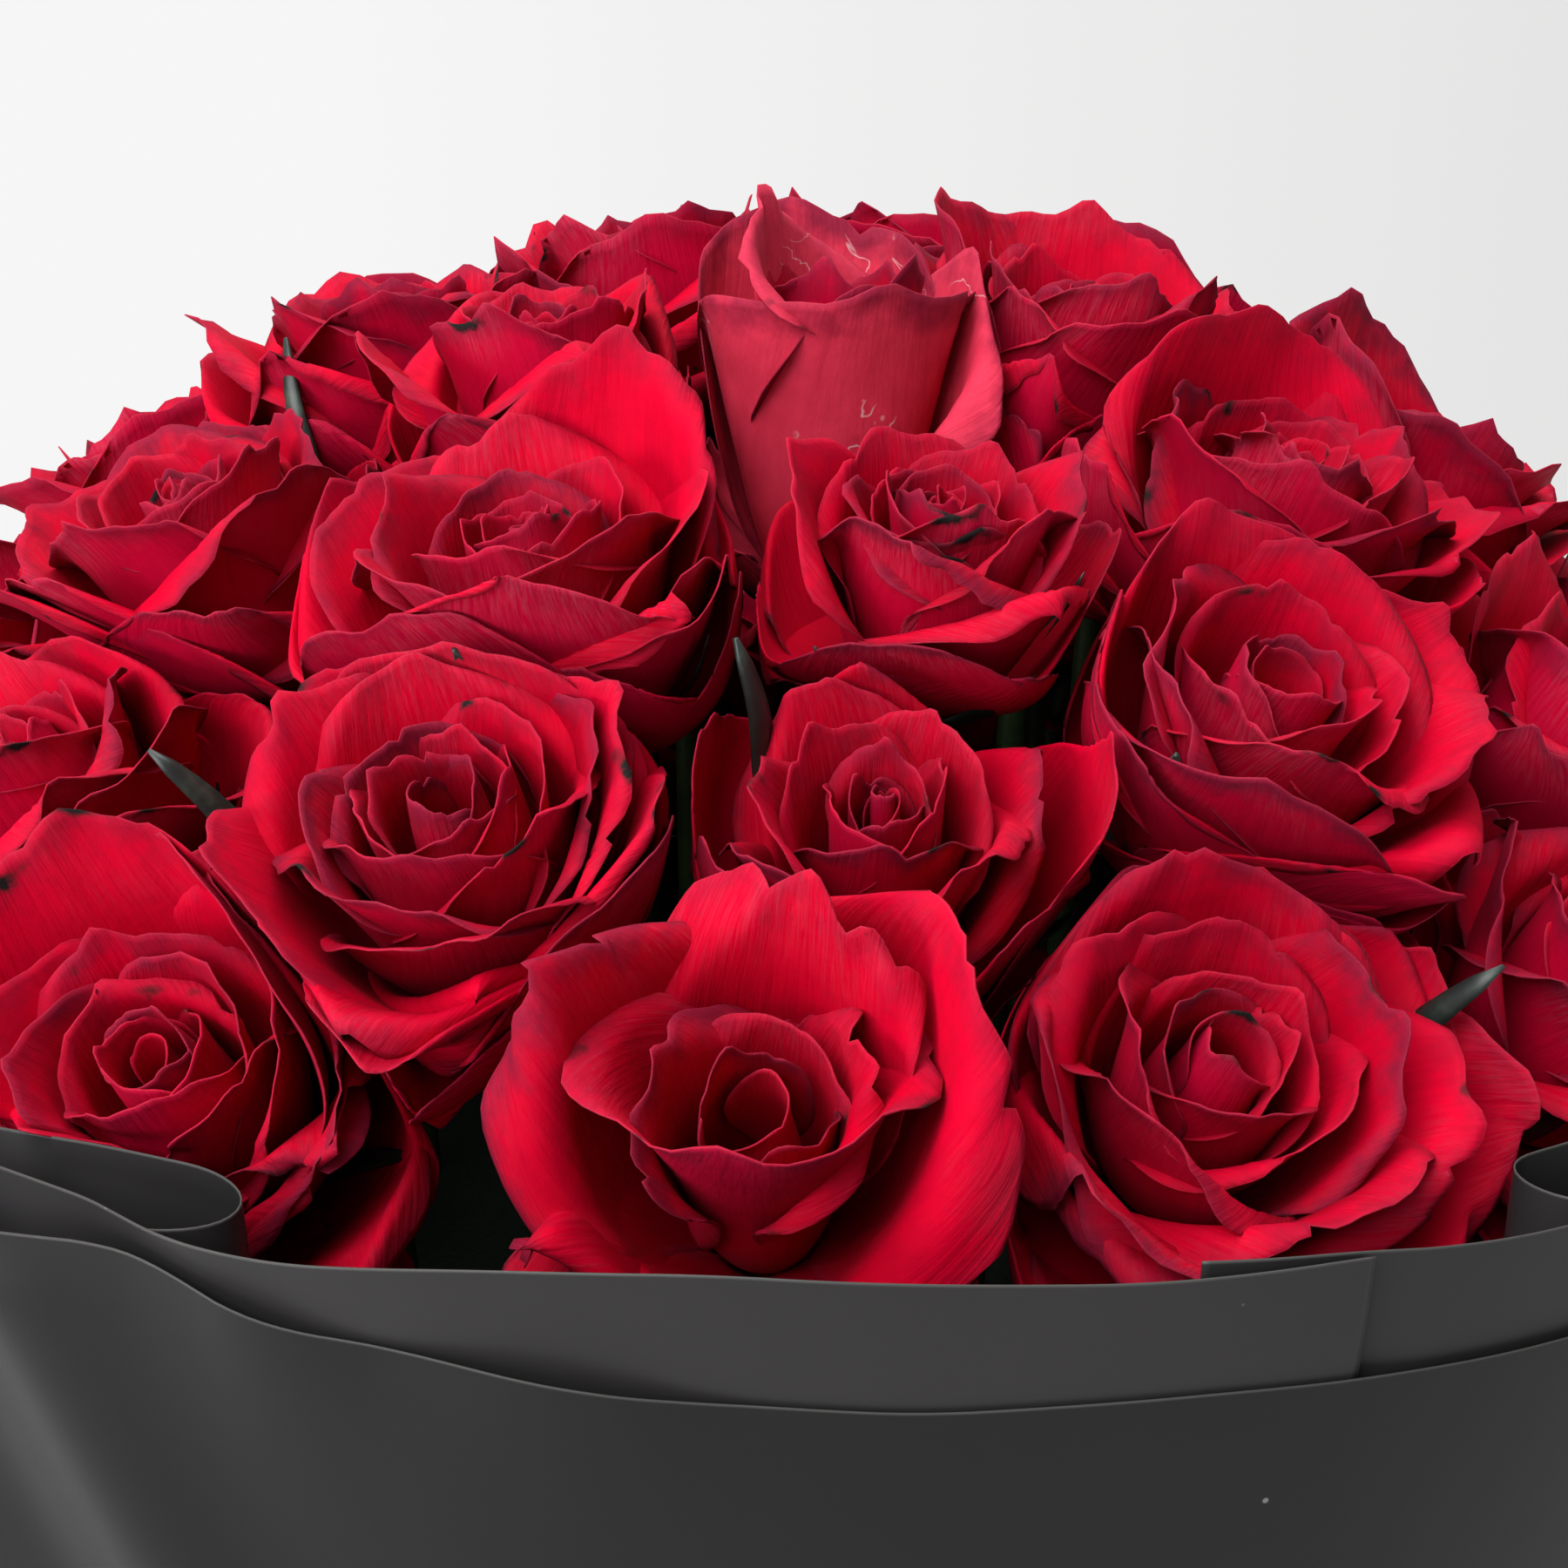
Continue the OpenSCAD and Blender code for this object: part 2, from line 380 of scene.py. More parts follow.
def film_material():
    """Charcoal floral film: satin, a shade lighter inside, with a faint grain, specks of dust and a painted
    highlight along its top edge.
    """
    material, tree, shader = new_material("charcoal_film", 0.42)
    place = node_of(tree, "ShaderNodeTexCoord").outputs["Object"]
    side = attribute(tree, "side").outputs["Fac"]
    grain = noise_over(tree, place, Scale=2600.0, Detail=2.0)
    cloud = noise_over(tree, place, Scale=9.0, Detail=4.0)
    dust = node_of(tree, "ShaderNodeTexVoronoi", Scale=38.0)
    tree.links.new(place, dust.inputs["Vector"])
    outside = ramp(tree, cloud, [(0.3, (0.0075, 0.0070, 0.0075)), (0.7, (0.0088, 0.0082, 0.0088))])
    inside = ramp(tree, cloud, [(0.3, (0.0195, 0.0184, 0.0193)), (0.7, (0.0222, 0.0210, 0.0220))])
    colour = mixed(tree, side, outside, inside)
    speck = maths(tree, "SUBTRACT", 1.0, stretch(tree, 0.012, 0.02, dust.outputs["Distance"]), clamp=True)
    colour = mixed(tree, times(tree, speck, 0.35), colour, (0.35, 0.34, 0.33))
    # the top edge is painted lighter: a painted highlight where the film's cut edge catches light
    hem_highlight = attribute(tree, "hem_highlight").outputs["Fac"]
    colour = mixed(tree, times(tree, hem_highlight, 0.5), colour, (0.10, 0.10, 0.095))
    tree.links.new(colour, shader.inputs["Base Color"])
    rough = maths(tree, "ADD", 0.34, times(tree, cloud, 0.12))
    tree.links.new(rough, shader.inputs["Roughness"])
    shader.inputs["Specular IOR Level"].default_value = 0.10
    add_bump(tree, shader, grain, 0.25, 0.00005)
    return material


def plain_material(name, low, high, scale, roughness, depth):
    """A two-tone noisy material for the pieces inside the wrap."""
    material, tree, shader = new_material(name, roughness)
    place = node_of(tree, "ShaderNodeTexCoord").outputs["Object"]
    noise = noise_over(tree, place, Scale=scale, Detail=6.0, Roughness=0.6)
    tree.links.new(ramp(tree, noise, [(0.35, low), (0.65, high)]), shader.inputs["Base Color"])
    add_bump(tree, shader, noise, 0.6, depth)
    return material


# ---------------------------------------------------------------- mesh helpers
def mesh_object(name, verts, quads, attributes, material):
    """An object from arrays of points and quads, with named point attributes."""
    mesh = bpy.data.meshes.new(name)
    mesh.vertices.add(len(verts))
    mesh.vertices.foreach_set("co", np.ascontiguousarray(verts, np.float32).ravel())
    mesh.loops.add(quads.size)
    mesh.loops.foreach_set("vertex_index", np.ascontiguousarray(quads, np.int32).ravel())
    mesh.polygons.add(len(quads))
    mesh.polygons.foreach_set("loop_start", np.arange(0, quads.size, 4, dtype=np.int32))
    mesh.update(calc_edges=True)
    for key, values in attributes.items():
        values = np.ascontiguousarray(values, np.float32)
        if values.ndim == 1:
            mesh.attributes.new(key, "FLOAT", "POINT").data.foreach_set("value", values)
        else:
            mesh.attributes.new(key, "FLOAT_VECTOR", "POINT").data.foreach_set("vector", values.ravel())
    mesh.polygons.foreach_set("use_smooth", np.ones(len(quads), bool))
    mesh.materials.append(material)
    piece = bpy.data.objects.new(name, mesh)
    bpy.context.scene.collection.objects.link(piece)
    return piece


def surface_normals(points):
    """Unit normals of a (rows, columns, 3) surface."""
    normal = np.cross(np.gradient(points, axis=1), np.gradient(points, axis=0))
    return normal / np.maximum(np.linalg.norm(normal, axis=-1, keepdims=True), 1e-12)


def thin_shell(points, half):
    """Points and quads of a thin closed shell round a (rows, columns, 3) mid-surface."""
    rows, cols, _ = points.shape
    normal = surface_normals(points)
    verts = np.concatenate([(points - normal * half).reshape(-1, 3), (points + normal * half).reshape(-1, 3)])
    grid = np.arange(rows * cols).reshape(rows, cols)
    quads = np.stack([grid[:-1, :-1], grid[:-1, 1:], grid[1:, 1:], grid[1:, :-1]], -1).reshape(-1, 4)
    ring = np.concatenate([grid[0, :], grid[1:, -1], grid[-1, -2::-1], grid[-2:0:-1, 0]])
    after = np.roll(ring, -1)
    far = rows * cols
    border = np.stack([ring, after, after + far, ring + far], -1)
    return verts, np.concatenate([quads[:, ::-1], quads + far, border])


# ---------------------------------------------------------------- the roses
# How a petal changes from the heart of the flower (0) through the open petals (1) to hanging ones
STAGE = (0.0, 0.2, 0.4, 0.6, 0.8, 1.0, 1.2)
LENGTH = (33, 37, 41, 45, 49, 51, 52)
HALF_WIDTH = (11, 15, 20, 24, 27, 29, 31)
ROOT_RADIUS = (1.4, 2.6, 3.8, 5.0, 6.0, 6.8, 7.0)
ROOT_HEIGHT = (9, 7, 5, 3.5, 2, 1, 0)
# Steepness from level, in degrees, at the root, the lower and upper third, and the tip
ROOT_ANGLE = (62, 54, 46, 40, 35, 28, 8)
LOW_ANGLE = (92, 87, 81, 75, 70, 64, 38)
HIGH_ANGLE = (98, 94, 89, 83, 76, 66, 40)
TIP_ANGLE = (95, 90, 82, 70, 54, 28, -15)
GOLDEN = math.radians(137.5)
OUTER_FROM = 0.7     # from this stage on a petal counts as an outer one
HANG_AZIMUTHS = (-112, -66, 60, 150, -170, 0)
CUP_HEIGHT = 44.5    # height in mm of an open flower from its root to its face, before it is stretched


def shape_at(stage, spread):
    """Sizes and angles of a petal at a stage, for a flower that is more or less open.

    The key outer is 0 for petals that stay furled at the heart and 1 for open ones, and roll is how
    strongly their sides roll back.
    """
    def at(table):
        return float(np.interp(stage, STAGE, table))

    angles = [90 - (90 - at(t)) * spread for t in (ROOT_ANGLE, LOW_ANGLE, HIGH_ANGLE, TIP_ANGLE)]
    return dict(length=at(LENGTH) * MM, half=at(HALF_WIDTH) * MM, root_r=at(ROOT_RADIUS) * MM,
                root_z=at(ROOT_HEIGHT) * MM, angles=angles, outer=float(np.clip((stage - 0.12) / 0.88, 0, 1)),
                roll=1.0)


def single_shape(kind, width, length):
    """An open petal with the angles of its kind, made wider and longer by two factors."""
    angles, roll = KINDS[kind]
    shape = shape_at(1.0, 1.0)
    shape.update(length=shape["length"] * length, half=shape["half"] * width, angles=list(angles), roll=roll)
    return shape


def petal_outline(rng, length, half, cols, rows):
    """Flat petal: a narrow root, broad shoulders, a small point and a ragged, notched edge.

    Returns how far each point is across, from -1 to 1, and along, from 0 to 1, and both in metres.
    """
    even = np.linspace(-1, 1, cols)
    u, v = np.meshgrid(0.45 * np.sin(even * np.pi / 2) + 0.55 * even, np.linspace(0, 1, rows) ** 0.8)
    top = 0.62 + 0.38 * np.sqrt(np.clip(1 - np.abs(u) ** 2.4, 0, 1))
    top = top + rng.uniform(0.02, 0.09) * np.exp(-((u - rng.uniform(-0.15, 0.15)) / 0.13) ** 2)
    for k in (1, 2, 3, 5, 8, 13):
        top = top + 0.016 * rng.uniform(-1, 1) * np.sin(3.1 * k * u + rng.uniform(0, 6.28)) / k ** 0.6
    for _ in range(2):
        top = top - rng.uniform(0, 0.05) * np.exp(-((u - rng.uniform(-0.9, 0.9)) / 0.035) ** 2)
    y = v * top
    x = u * half * (0.22 + 0.78 * np.sin(np.pi / 2 * np.clip(y / 0.62, 0, 1)) ** 1.15)
    return u, v, x, y * length


def roll_back(rng, shape, x, y, length):
    """Both upper sides roll back, which leaves a point between them; n is how far they stand off."""
    outer, roll = shape["outer"], shape["roll"]
    n = np.zeros_like(x)
    for side in (-1, 1):
        lean = math.radians(rng.uniform(30, 66))
        dx, dy = side * math.sin(lean), math.cos(lean)
        reach = x * dx + y * dy
        start = reach.max() - length * (0.05 + 0.13 * outer * roll) * rng.uniform(0.45, 1.4)
        radius = length * rng.uniform(0.03, 0.08)
        limit = math.radians(min(150.0, rng.uniform(25, 80) + 50 * outer * roll))
        past = np.clip(reach - start, 0, None)
        turn = np.minimum(past / radius, limit)
        rest = past - radius * turn
        shift = radius * np.sin(turn) + rest * np.cos(turn) - past
        x, y = x + shift * dx, y + shift * dy
        n = n + radius * (1 - np.cos(turn)) + rest * np.sin(turn)
    return x, y, n


def ruffle(rng, shape, n, u, v, length):
    """Soft buckles, fan-like creases, and ruffles along the margin, added to n."""
    outer = shape["outer"]
    for p, q in ((1.7, 2.3), (3.1, 3.6), (4.6, 2.2), (2.4, 5.5)):
        wave = np.sin(p * u + rng.uniform(0, 6.28)) * np.sin(q * v + rng.uniform(0, 6.28))
        n = n + rng.uniform(-1, 1) * wave * length * 0.012 * v * (0.35 + 0.65 * outer)
    for w in (6.0, 10.5):
        wave = np.sin(w * u + rng.uniform(0, 6.28) + rng.uniform(-1, 1) * v)
        n = n + rng.uniform(0.2, 1) * wave * length * 0.0035 * v ** 2
    margin = np.maximum(np.abs(u), v) ** 7
    for w in (5.5, 9.3, 14.7, 21.0):
        wave = np.sin(w * (u + 0.35 * v) + rng.uniform(0, 6.28))
        n = n + rng.uniform(0.4, 1) * wave * length * 0.0095 * margin * (0.4 + outer) * (5.5 / w) ** 0.35
    return n


def cup(rng, shape, x, y, n, length, half):
    """The meridian is summed up from its angles, then the petal is bent round the flower's axis."""
    outer = shape["outer"]
    stations = [a + rng.uniform(-wide, wide) for a, wide in zip(shape["angles"], (2, 3, 4, 10))]
    s = np.linspace(0, length * 1.15, 240)
    beta = np.radians(np.interp(s / length, (0, 0.34, 0.70, 1.0), stations))
    radii = shape["root_r"] + np.concatenate([[0], np.cumsum(np.cos(beta[:-1])) * s[1]])
    heights = shape["root_z"] + np.concatenate([[0], np.cumsum(np.sin(beta[:-1])) * s[1]])
    r, z, b = (np.interp(y, s, curve) for curve in (radii, heights, beta))
    flatter = 1 + (0.15 + 0.5 * outer) * np.clip(y / length, 0, 1) ** 1.5 * rng.uniform(0.6, 1.3)
    rho = np.maximum(r, 2 * MM) * flatter
    # one side stands further out than the other, so that neighbours overlap like shingles
    r = r + rng.uniform(0.6, 1.6) * (1.1 + 1.2 * outer) * MM * x / half
    psi = x / rho
    out = rho + n * np.sin(b)
    return r - rho + out * np.cos(psi), out * np.sin(psi), z - n * np.cos(b)


def petal(rng, shape, azimuth, cols, rows):
    """Mid-surface of one petal about the flower's +Z axis, with its across and along places."""
    length = shape["length"] * rng.uniform(0.95, 1.05)
    half = shape["half"] * rng.uniform(0.92, 1.08)
    u, v, x, y = petal_outline(rng, length, half, cols, rows)
    x, y, n = roll_back(rng, shape, x, y, length)
    n = ruffle(rng, shape, n, u, v, length)
    px, py, pz = cup(rng, shape, x, y, n, length, half)
    ca, sa = math.cos(azimuth), math.sin(azimuth)
    return np.stack([px * ca - py * sa, px * sa + py * ca, pz], -1), u, v


def axes_along(direction):
    """Columns of a frame whose third axis is the direction and whose first is level."""
    z = direction / np.linalg.norm(direction)
    x = np.cross([0.0, 0.0, 1.0], z)
    x = x / np.linalg.norm(x)
    return np.stack([x, np.cross(z, x), z], 1)


def wrap_radius(z):
    """Inner radius of the wrap at a height."""
    share = np.clip((z - WRAP_HUG_Z) / (RIM_Z - WRAP_HUG_Z), 0, 2)
    return BOX_R + (RIM_R - BOX_R) * share


PRESS = 9 * MM       # depth over which a petal gives way to what it presses on
TOUCH = 0.4 * MM     # how far short of the plane between two flowers their petals stop
FILM_ROOM = 5 * MM   # how far inside the wrap the petals stop
UPTURN = 0.22        # how much a petal that is pressed back comes up instead
# How far the folded loops of film stand in from the rim, as (azimuth, mm)
LOOPS = ((-60, 0), (-46, 9), (-34, 21), (-17.5, 25), (-15, 0), (22, 0), (27, 23), (40, 19), (52, 8), (64, 0))


def soft_limit(value, limit):
    """What is left of a value that is pressed back softly from a limit."""
    over = np.clip(value - (limit - PRESS), 0, None)
    return value - over + PRESS * (1 - np.exp(-over / PRESS))


def give_way(points, flower):
    """Petals flatten against the petals of neighbouring flowers and against the wrap."""
    shape = points.shape
    points = points.reshape(-1, 3)
    for other in flower["others"]:
        gap = other["core"] - flower["core"]
        distance = np.linalg.norm(gap)
        towards = gap / distance
        share = flower["weight"] / (flower["weight"] + other["weight"])
        reach = (points - flower["core"]) @ towards
        back = reach - soft_limit(reach, distance * share - TOUCH)
        points = points - back[:, None] * towards + UPTURN * back[:, None] * flower["facing"]
    radial = np.hypot(points[:, 0], points[:, 1])
    azimuth = np.degrees(np.arctan2(points[:, 0], -points[:, 1]))
    loops = np.interp(azimuth, *np.array(LOOPS).T) * MM
    # above the rim nothing holds them in
    free = 2.5 * np.clip(points[:, 2] - RIM_Z + 1 * MM, 0, None)
    limit = wrap_radius(points[:, 2]) - FILM_ROOM - loops + free
    scale = soft_limit(radial, limit) / np.maximum(radial, 1e-9)
    points = points * np.stack([scale, scale, np.ones_like(scale)], -1)
    return points.reshape(shape)


def petal_plan(own, number):
    """Every petal of a flower as (shape, azimuth, whether it is an outer one), from the heart outwards."""
    rng = np.random.default_rng(own["seed"])
    start = rng.uniform(0, 2 * math.pi)
    plan = []
    for k in range(own["petals"]):
        stage = (k / (own["petals"] - 1)) ** 0.95
        azimuth = start + GOLDEN * k + rng.uniform(-0.2, 0.2)
        if own["heart"] <= stage and not own["gap"][0] < stage < own["gap"][1]:
            plan.append((shape_at(stage, own["spread"]), azimuth, stage > OUTER_FROM))
    for k in range(own["guards"]):
        azimuth = start + 2 * math.pi * k / own["guards"] + rng.uniform(-0.3, 0.3)
        plan.append((shape_at(rng.uniform(1.04, 1.2), 1.0), azimuth, True))
    for azimuth in HANG_AZIMUTHS[:own["hangs"]]:
        plan.append((single_shape("hang", 1.0, rng.uniform(0.9, 1.1)),
                     math.radians(azimuth + rng.uniform(-12, 12)), True))
    for azimuth, kind, width, length in SINGLE.get(number, []):
        plan.append((single_shape(kind, width, length), math.radians(azimuth), True))
    return plan


def rose(flower, material):
    """One rose head: all its petals as one piece."""
    own = flower["own"]
    cols, rows = FRONT_GRID if flower["middle"][1] < FRONT_Y else BACK_GRID
    verts, quads, marks = [], [], {"side": [], "edge": [], "along": [], "tone": [], "bleach": [], "flat": []}
    offset = 0
    scale = np.array([own["size"], own["size"], own["deep"] / CUP_HEIGHT])
    for k, (shape, azimuth, is_outer) in enumerate(petal_plan(own, flower["number"])):
        rng = np.random.default_rng((own["seed"], k))
        tone = rng.uniform(0, 1) ** 2
        points, u, v = petal(rng, shape, azimuth, cols, rows)
        points = flower["root"] + (points * scale) @ flower["axes"].T
        points = give_way(points, flower)
        v_shell, q_shell = thin_shell(points, PETAL_HALF)
        verts.append(v_shell)
        quads.append(q_shell + offset)
        offset += len(v_shell)
        size = u.size
        marks["side"].append(np.repeat([0.0, 1.0], size))
        marks["edge"].append(np.tile(np.maximum(np.abs(u), v).ravel(), 2))
        marks["along"].append(np.tile(v.ravel(), 2))
        marks["tone"].append(np.full(2 * size, tone))
        marks["bleach"].append(np.full(2 * size, own["bleach"] * is_outer))
        flat = np.stack([u.ravel() * (0.35 + 0.65 * v.ravel()), v.ravel(), np.full(size, k * 3.7)], -1)
        marks["flat"].append(np.tile(flat, (2, 1)))
    name = f"rose_head_{flower['number']:02d}"
    piece = mesh_object(name, np.concatenate(verts), np.concatenate(quads),
                        {key: np.concatenate(value) for key, value in marks.items()}, material)
    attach(piece, "insert")
    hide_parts(f"rose_{flower['number']:02d}")
    return piece


# ---------------------------------------------------------------- calyxes and sepals
def blade(path, sideways, width):
    """A narrow leaf along a path, bent a little into a channel."""
    run = np.gradient(path, axis=0)
    run = run / np.linalg.norm(run, axis=1, keepdims=True)
    across = sideways - (run @ sideways)[:, None] * run
    across = across / np.linalg.norm(across, axis=1, keepdims=True)
    normal = np.cross(run, across)
    u = np.linspace(-1, 1, 5)[None, :, None]
    return (path[:, None] + u * (across * width[:, None])[:, None]
            + 0.35 * np.abs(u) * (normal * width[:, None])[:, None])


# Outline of a calyx from its neck to its rim, as radius and height in mm
CALYX_PROFILE = [(1.6, -12.5), (3.2, -12.3), (4.4, -9), (5.8, -5), (6.6, -1), (6.9, 2), (5.5, 4)]
SEPALS = 5
SEPAL_ROOT_R, SEPAL_ROOT_Z = 6.6 * MM, -1 * MM


def calyx_parts(rng):
    """The swollen calyx and the narrow sepals of one flower, as shells in the flower's frame."""
    turn = np.linspace(0, 2 * math.pi, 17)
    body = np.array([[[r * math.cos(t), r * math.sin(t), z] for t in turn] for r, z in CALYX_PROFILE]) * MM
    parts = [thin_shell(body, CALYX_HALF)]
    s = np.linspace(0, 1, 14)
    for k in range(SEPALS):
        azimuth = 2 * math.pi * k / SEPALS + rng.uniform(-0.2, 0.2)
        step = rng.uniform(28, 40) * MM / (len(s) - 1)
        bend = math.radians(rng.uniform(20, 55)) + (math.radians(rng.uniform(-60, 60)) * s ** 1.3)
        r = SEPAL_ROOT_R + np.concatenate([[0], np.cumsum(np.cos(bend[:-1]) * step)])
        z = SEPAL_ROOT_Z + np.concatenate([[0], np.cumsum(np.sin(bend[:-1]) * step)])
        path = np.stack([r * math.cos(azimuth), r * math.sin(azimuth), z], -1)
        width = (3.4 * (1 - s) ** 0.7 * (0.75 + 0.5 * s) + 0.25) * MM
        sideways = np.array([-math.sin(azimuth), math.cos(azimuth), 0.0])
        parts.append(thin_shell(blade(path, sideways, width), SEPAL_HALF))
    return parts


def sepal_tip(flower, other, share, rise):
    """A long sepal from one flower's calyx that comes up between two heads and curls at its tip."""
    away = other["face"] - flower["face"]
    towards = away / np.linalg.norm(away)
    facing = flower["facing"]
    start = flower["root"] + 6 * MM * towards
    tip = flower["face"] + away * share + rise * MM * facing
    bulge = start + 0.75 * (away * share) + 8 * MM * facing
    t = np.linspace(0, 1, 22)[:, None]
    path = (1 - t) ** 2 * start + 2 * t * (1 - t) * bulge + t ** 2 * tip
    # the last fifth curls over towards the other flower
    path = path + np.clip(t - 0.8, 0, 1) ** 2 * 150 * MM * towards
    s = t[:, 0]
    width = (3.2 * (1 - s ** 3) ** 0.5 + 0.2) * MM
    return thin_shell(blade(path, np.cross(towards, facing), width), TIP_HALF)


def calyxes(all_flowers, material):
    """The calyxes with their sepals, and the long sepal tips, all as one piece."""
    rng = np.random.default_rng(5)
    parts = []
    for flower in all_flowers:
        for verts, quads in calyx_parts(rng):
            verts = flower["root"] - 1 * MM * flower["facing"] + verts @ flower["stem_axes"].T
            parts.append((give_way(verts, flower), quads))
    for number, neighbour, share, rise in SEPAL_TIPS:
        parts.append(sepal_tip(all_flowers[number - 1], all_flowers[neighbour - 1], share, rise))
    sizes = np.cumsum([0] + [len(verts) for verts, _ in parts])
    piece = mesh_object("calyxes_and_sepals", np.concatenate([verts for verts, _ in parts]),
                        np.concatenate([quads + o for (_, quads), o in zip(parts, sizes)]), {}, material)
    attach(piece, "insert")
    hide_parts("calyxes")


# ---------------------------------------------------------------- the wrap
def smooth(t):
    """Rises from 0 to 1 with level ends, for t from 0 to 1."""
    t = np.clip(t, 0, 1)
    return t * t * (3 - 2 * t)


def u_turn(azimuth, inset_from, inset_to, direction, bulge, rise=(0, 0), steps=10):
    """Stops round the end of a loop of film that turns back on itself."""
    middle, radius = (inset_from + inset_to) / 2, (inset_to - inset_from) / 2
    out = []
    for i in range(steps + 1):
        t = math.pi * i / steps
        out.append((azimuth + direction * bulge * math.sin(t), middle - radius * math.cos(t),
                    rise[0] + (rise[1] - rise[0]) * i / steps))
    return out


# Free top edges of the two layers, as azimuth and mm above the rim
INNER_EDGE = ((-60, 0), (-24, 1.7), (-20, 1.0), (-15, -1.0), (-9, 1.0), (-2, 1.8), (4, 0.4), (10, -0.8),
              (17, -0.4), (22, -2.0), (60, 0))
OUTER_EDGE = ((-70, -19), (-45, -14), (-25, -2.5), (-20, -1.2), (-18, -3.7), (-15, -9), (-12.5, -10.6),
              (-9, -12), (-3, -16.2), (4, -18.4), (13, -17.8), (22, -19.5), (60, -19))
# How far the outer layer's edge stands off the inner layer, in mm
STAND_OFF = ((-60, 0.3), (-24, 1.0), (-18.6, 0.3), (-17, 2.2), (-15, 3.0), (-13, 0.5), (-10.5, 0.4),
             (-8.5, 2.4), (-5.5, 3.0), (-2, 0.5), (0, 0.2), (30, 0.2), (60, 1.2), (90, 0.3))


def eased(table, azimuth):
    """A value read from a table by azimuth, with the table's corners rounded off."""
    places, values = np.array(table).T
    steps = (-1.4, -0.7, 0, 0.7, 1.4)
    return sum(np.interp(azimuth + step, places, values) for step in steps) / len(steps)


RIDGE_START, RIDGE_SLOPE = -25.5, 0.10   # azimuth at the rim, and its change per mm of depth
RIDGE_FOOT = 120                         # depth in mm at which the ridge has run out
RIDGE_WIDTH = 13                         # in mm; the hollow is as wide, two widths to its left


def ridge(azimuth, depth):
    """A soft diagonal ridge with a hollow beside it, below the left end of the step, in mm."""
    across = np.radians(azimuth - (RIDGE_START + RIDGE_SLOPE * depth)) * RIM_R / MM
    fade = smooth(depth / 14) * smooth((RIDGE_FOOT - depth) / 60)
    crest = 2.8 * np.exp(-(across / RIDGE_WIDTH) ** 2)
    hollow = 2.2 * np.exp(-((across + 2 * RIDGE_WIDTH) / RIDGE_WIDTH) ** 2)
    return fade * (crest - hollow)


def film_columns(stops, pitch):
    """Azimuth, inset and rise of a sheet's columns, with the corners at the stops rounded off."""
    stops = np.array([tuple(stop) + (0,) * (3 - len(stop)) for stop in stops], float)
    plan = np.stack([np.radians(stops[:, 0]) * RIM_R, stops[:, 1] * MM], -1)
    run = np.concatenate([[0], np.cumsum(np.linalg.norm(np.diff(plan, axis=0), axis=1))])
    q = np.linspace(0, run[-1], int(run[-1] / (pitch * MM)))
    kernel = np.array([1, 2, 3, 2, 1]) / 9
    return [np.convolve(np.pad(np.interp(q, run, stops[:, i]), 2, "edge"), kernel, "valid")
            for i in range(3)]


HUG_GAP = 0.6 * MM       # room between the box and the film
BUCKLE = 2.1 * MM        # how deep the buckles are
STAND_DEPTH = 38 * MM    # how far below its free edge a sheet starts to stand off
FILM_ROWS = 64           # rows of a sheet's mesh up to where its hem starts
HEM_FROM = 0.9982        # the hem is what lies above this share of the height


def wrap_sheet(name, node, stops, edge, stand_off, lift, pale, pitch, material):
    """One sheet of film from the foot up to its free top edge; stops are azimuth, inset and rise in mm.

    Its columns are a pitch apart, in mm, at the rim.
    """
    # the buckles are the same in every sheet, because the layers press on each other
    rng = np.random.default_rng(3)
    waves = [(rng.uniform(-1, 1), k, rng.uniform(0, 6.28), m)
             for k, m in ((5, 1.0), (8, 1.6), (13, 2.2), (19, 2.6), (29, 3.1))]
    azimuth, inset, rise = film_columns(stops, pitch)
    top_z = RIM_Z + (eased(edge, azimuth) + rise) * MM

    def radius_at(z):
        share = np.clip((z - WRAP_HUG_Z) / (RIM_Z - WRAP_HUG_Z), 0, 1)
        out = BOX_R + HUG_GAP + (RIM_R - BOX_R - HUG_GAP) * share
        buckle = sum(a * np.sin(np.radians(k * azimuth) + p + 2.2 * share * m) / (k / 5) ** 0.6
                     for a, k, p, m in waves)
        out = out + buckle * BUCKLE * share ** 0.8 * (1 - 0.55 * share)
        out = out - inset * MM * share ** 0.7 + lift * MM
        away = np.clip(1 - (top_z - z) / STAND_DEPTH, 0, 1) ** 2
        return out + ridge(azimuth, (RIM_Z - z) / MM) * MM + eased(stand_off, azimuth) * away * MM

    # rows from the foot to the top edge, the last one a narrow hem
    shares = np.concatenate([np.linspace(0, 1, FILM_ROWS)[:-1] ** 0.85, [HEM_FROM, 1.0]])
    layers = []
    for t in shares:
        z = WRAP_FOOT_Z + (top_z - WRAP_FOOT_Z) * t
        layers.append((radius_at(z), z))
    a = np.radians(azimuth)
    points = np.array([np.stack([r * np.sin(a), -r * np.cos(a), z], -1) for r, z in layers])
    verts, quads = thin_shell(points, FILM_HALF)
    # the top row carries the painted highlight of the film's edge
    hem_highlight = np.zeros(points.shape[:2])
    hem_highlight[-1] = 1
    # a sheet that runs towards +azimuth has its outer face last
    faces = [pale, 1.0] if azimuth[-1] < azimuth[0] else [1.0, pale]
    marks = {"side": np.repeat(faces, hem_highlight.size), "hem_highlight": np.tile(hem_highlight.ravel(), 2)}
    piece = mesh_object(name, verts, quads, marks, material)
    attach(piece, "box")
    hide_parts(node)


